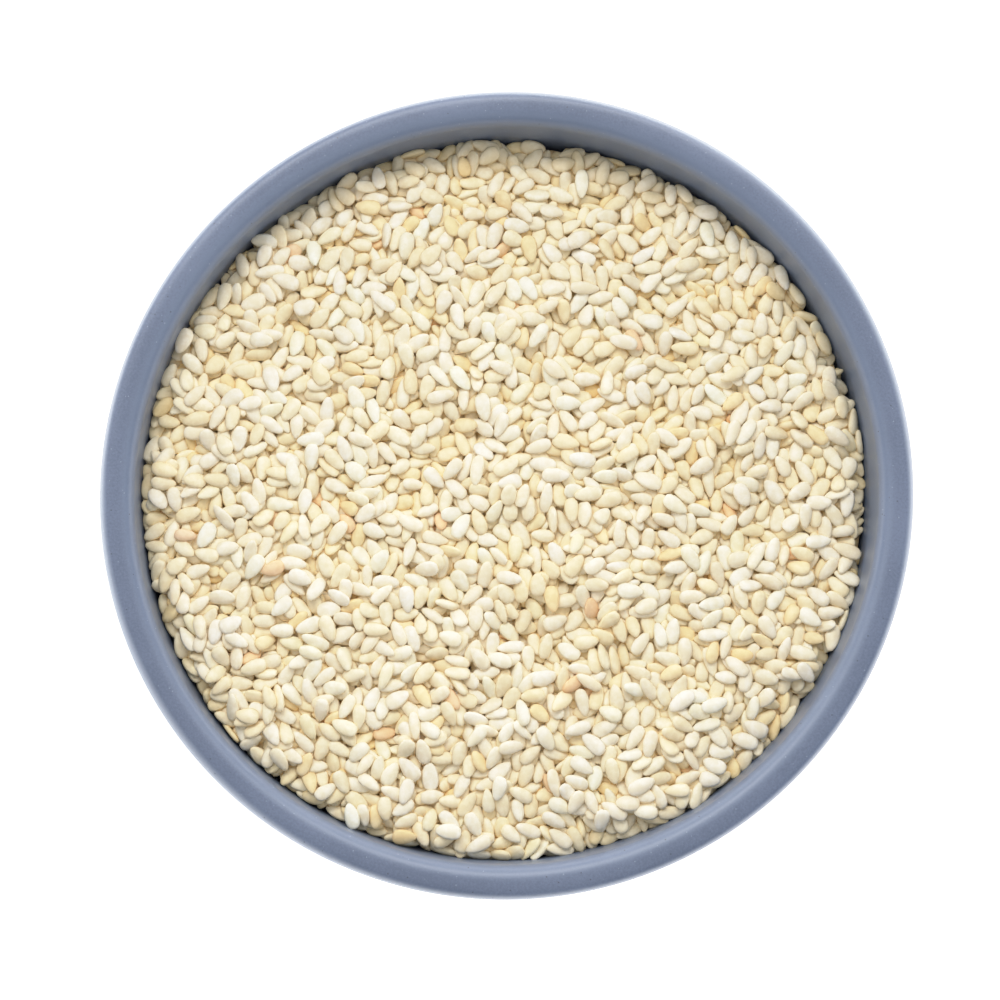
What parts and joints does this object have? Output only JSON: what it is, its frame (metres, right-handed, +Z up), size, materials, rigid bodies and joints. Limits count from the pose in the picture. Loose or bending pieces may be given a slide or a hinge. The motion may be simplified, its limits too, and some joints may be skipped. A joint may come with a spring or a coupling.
{
  "type": "bowl of sesame seeds",
  "caption": "Small round glazed bowl on a foot ring, with a thick rounded lip, filled to just under the lip with loose pale sesame seeds.",
  "frame": {"origin": "centre of the foot ring's resting face", "axes": "+Z up along the bowl's axis, +X along its slightly wider diameter, towards the right of the picture, +Y towards the top of the picture"},
  "size_m": [0.1, 0.0996, 0.047],
  "materials": {
    "glaze": "satin blue-grey glaze, faintly mottled",
    "seeds": "dry, slightly waxy hulled seeds, cream with some toasted ones"
  },
  "bodies": {
    "root": {"bowl": "glaze", "sesame_seeds": "seeds"}
  },
  "joints": []
}
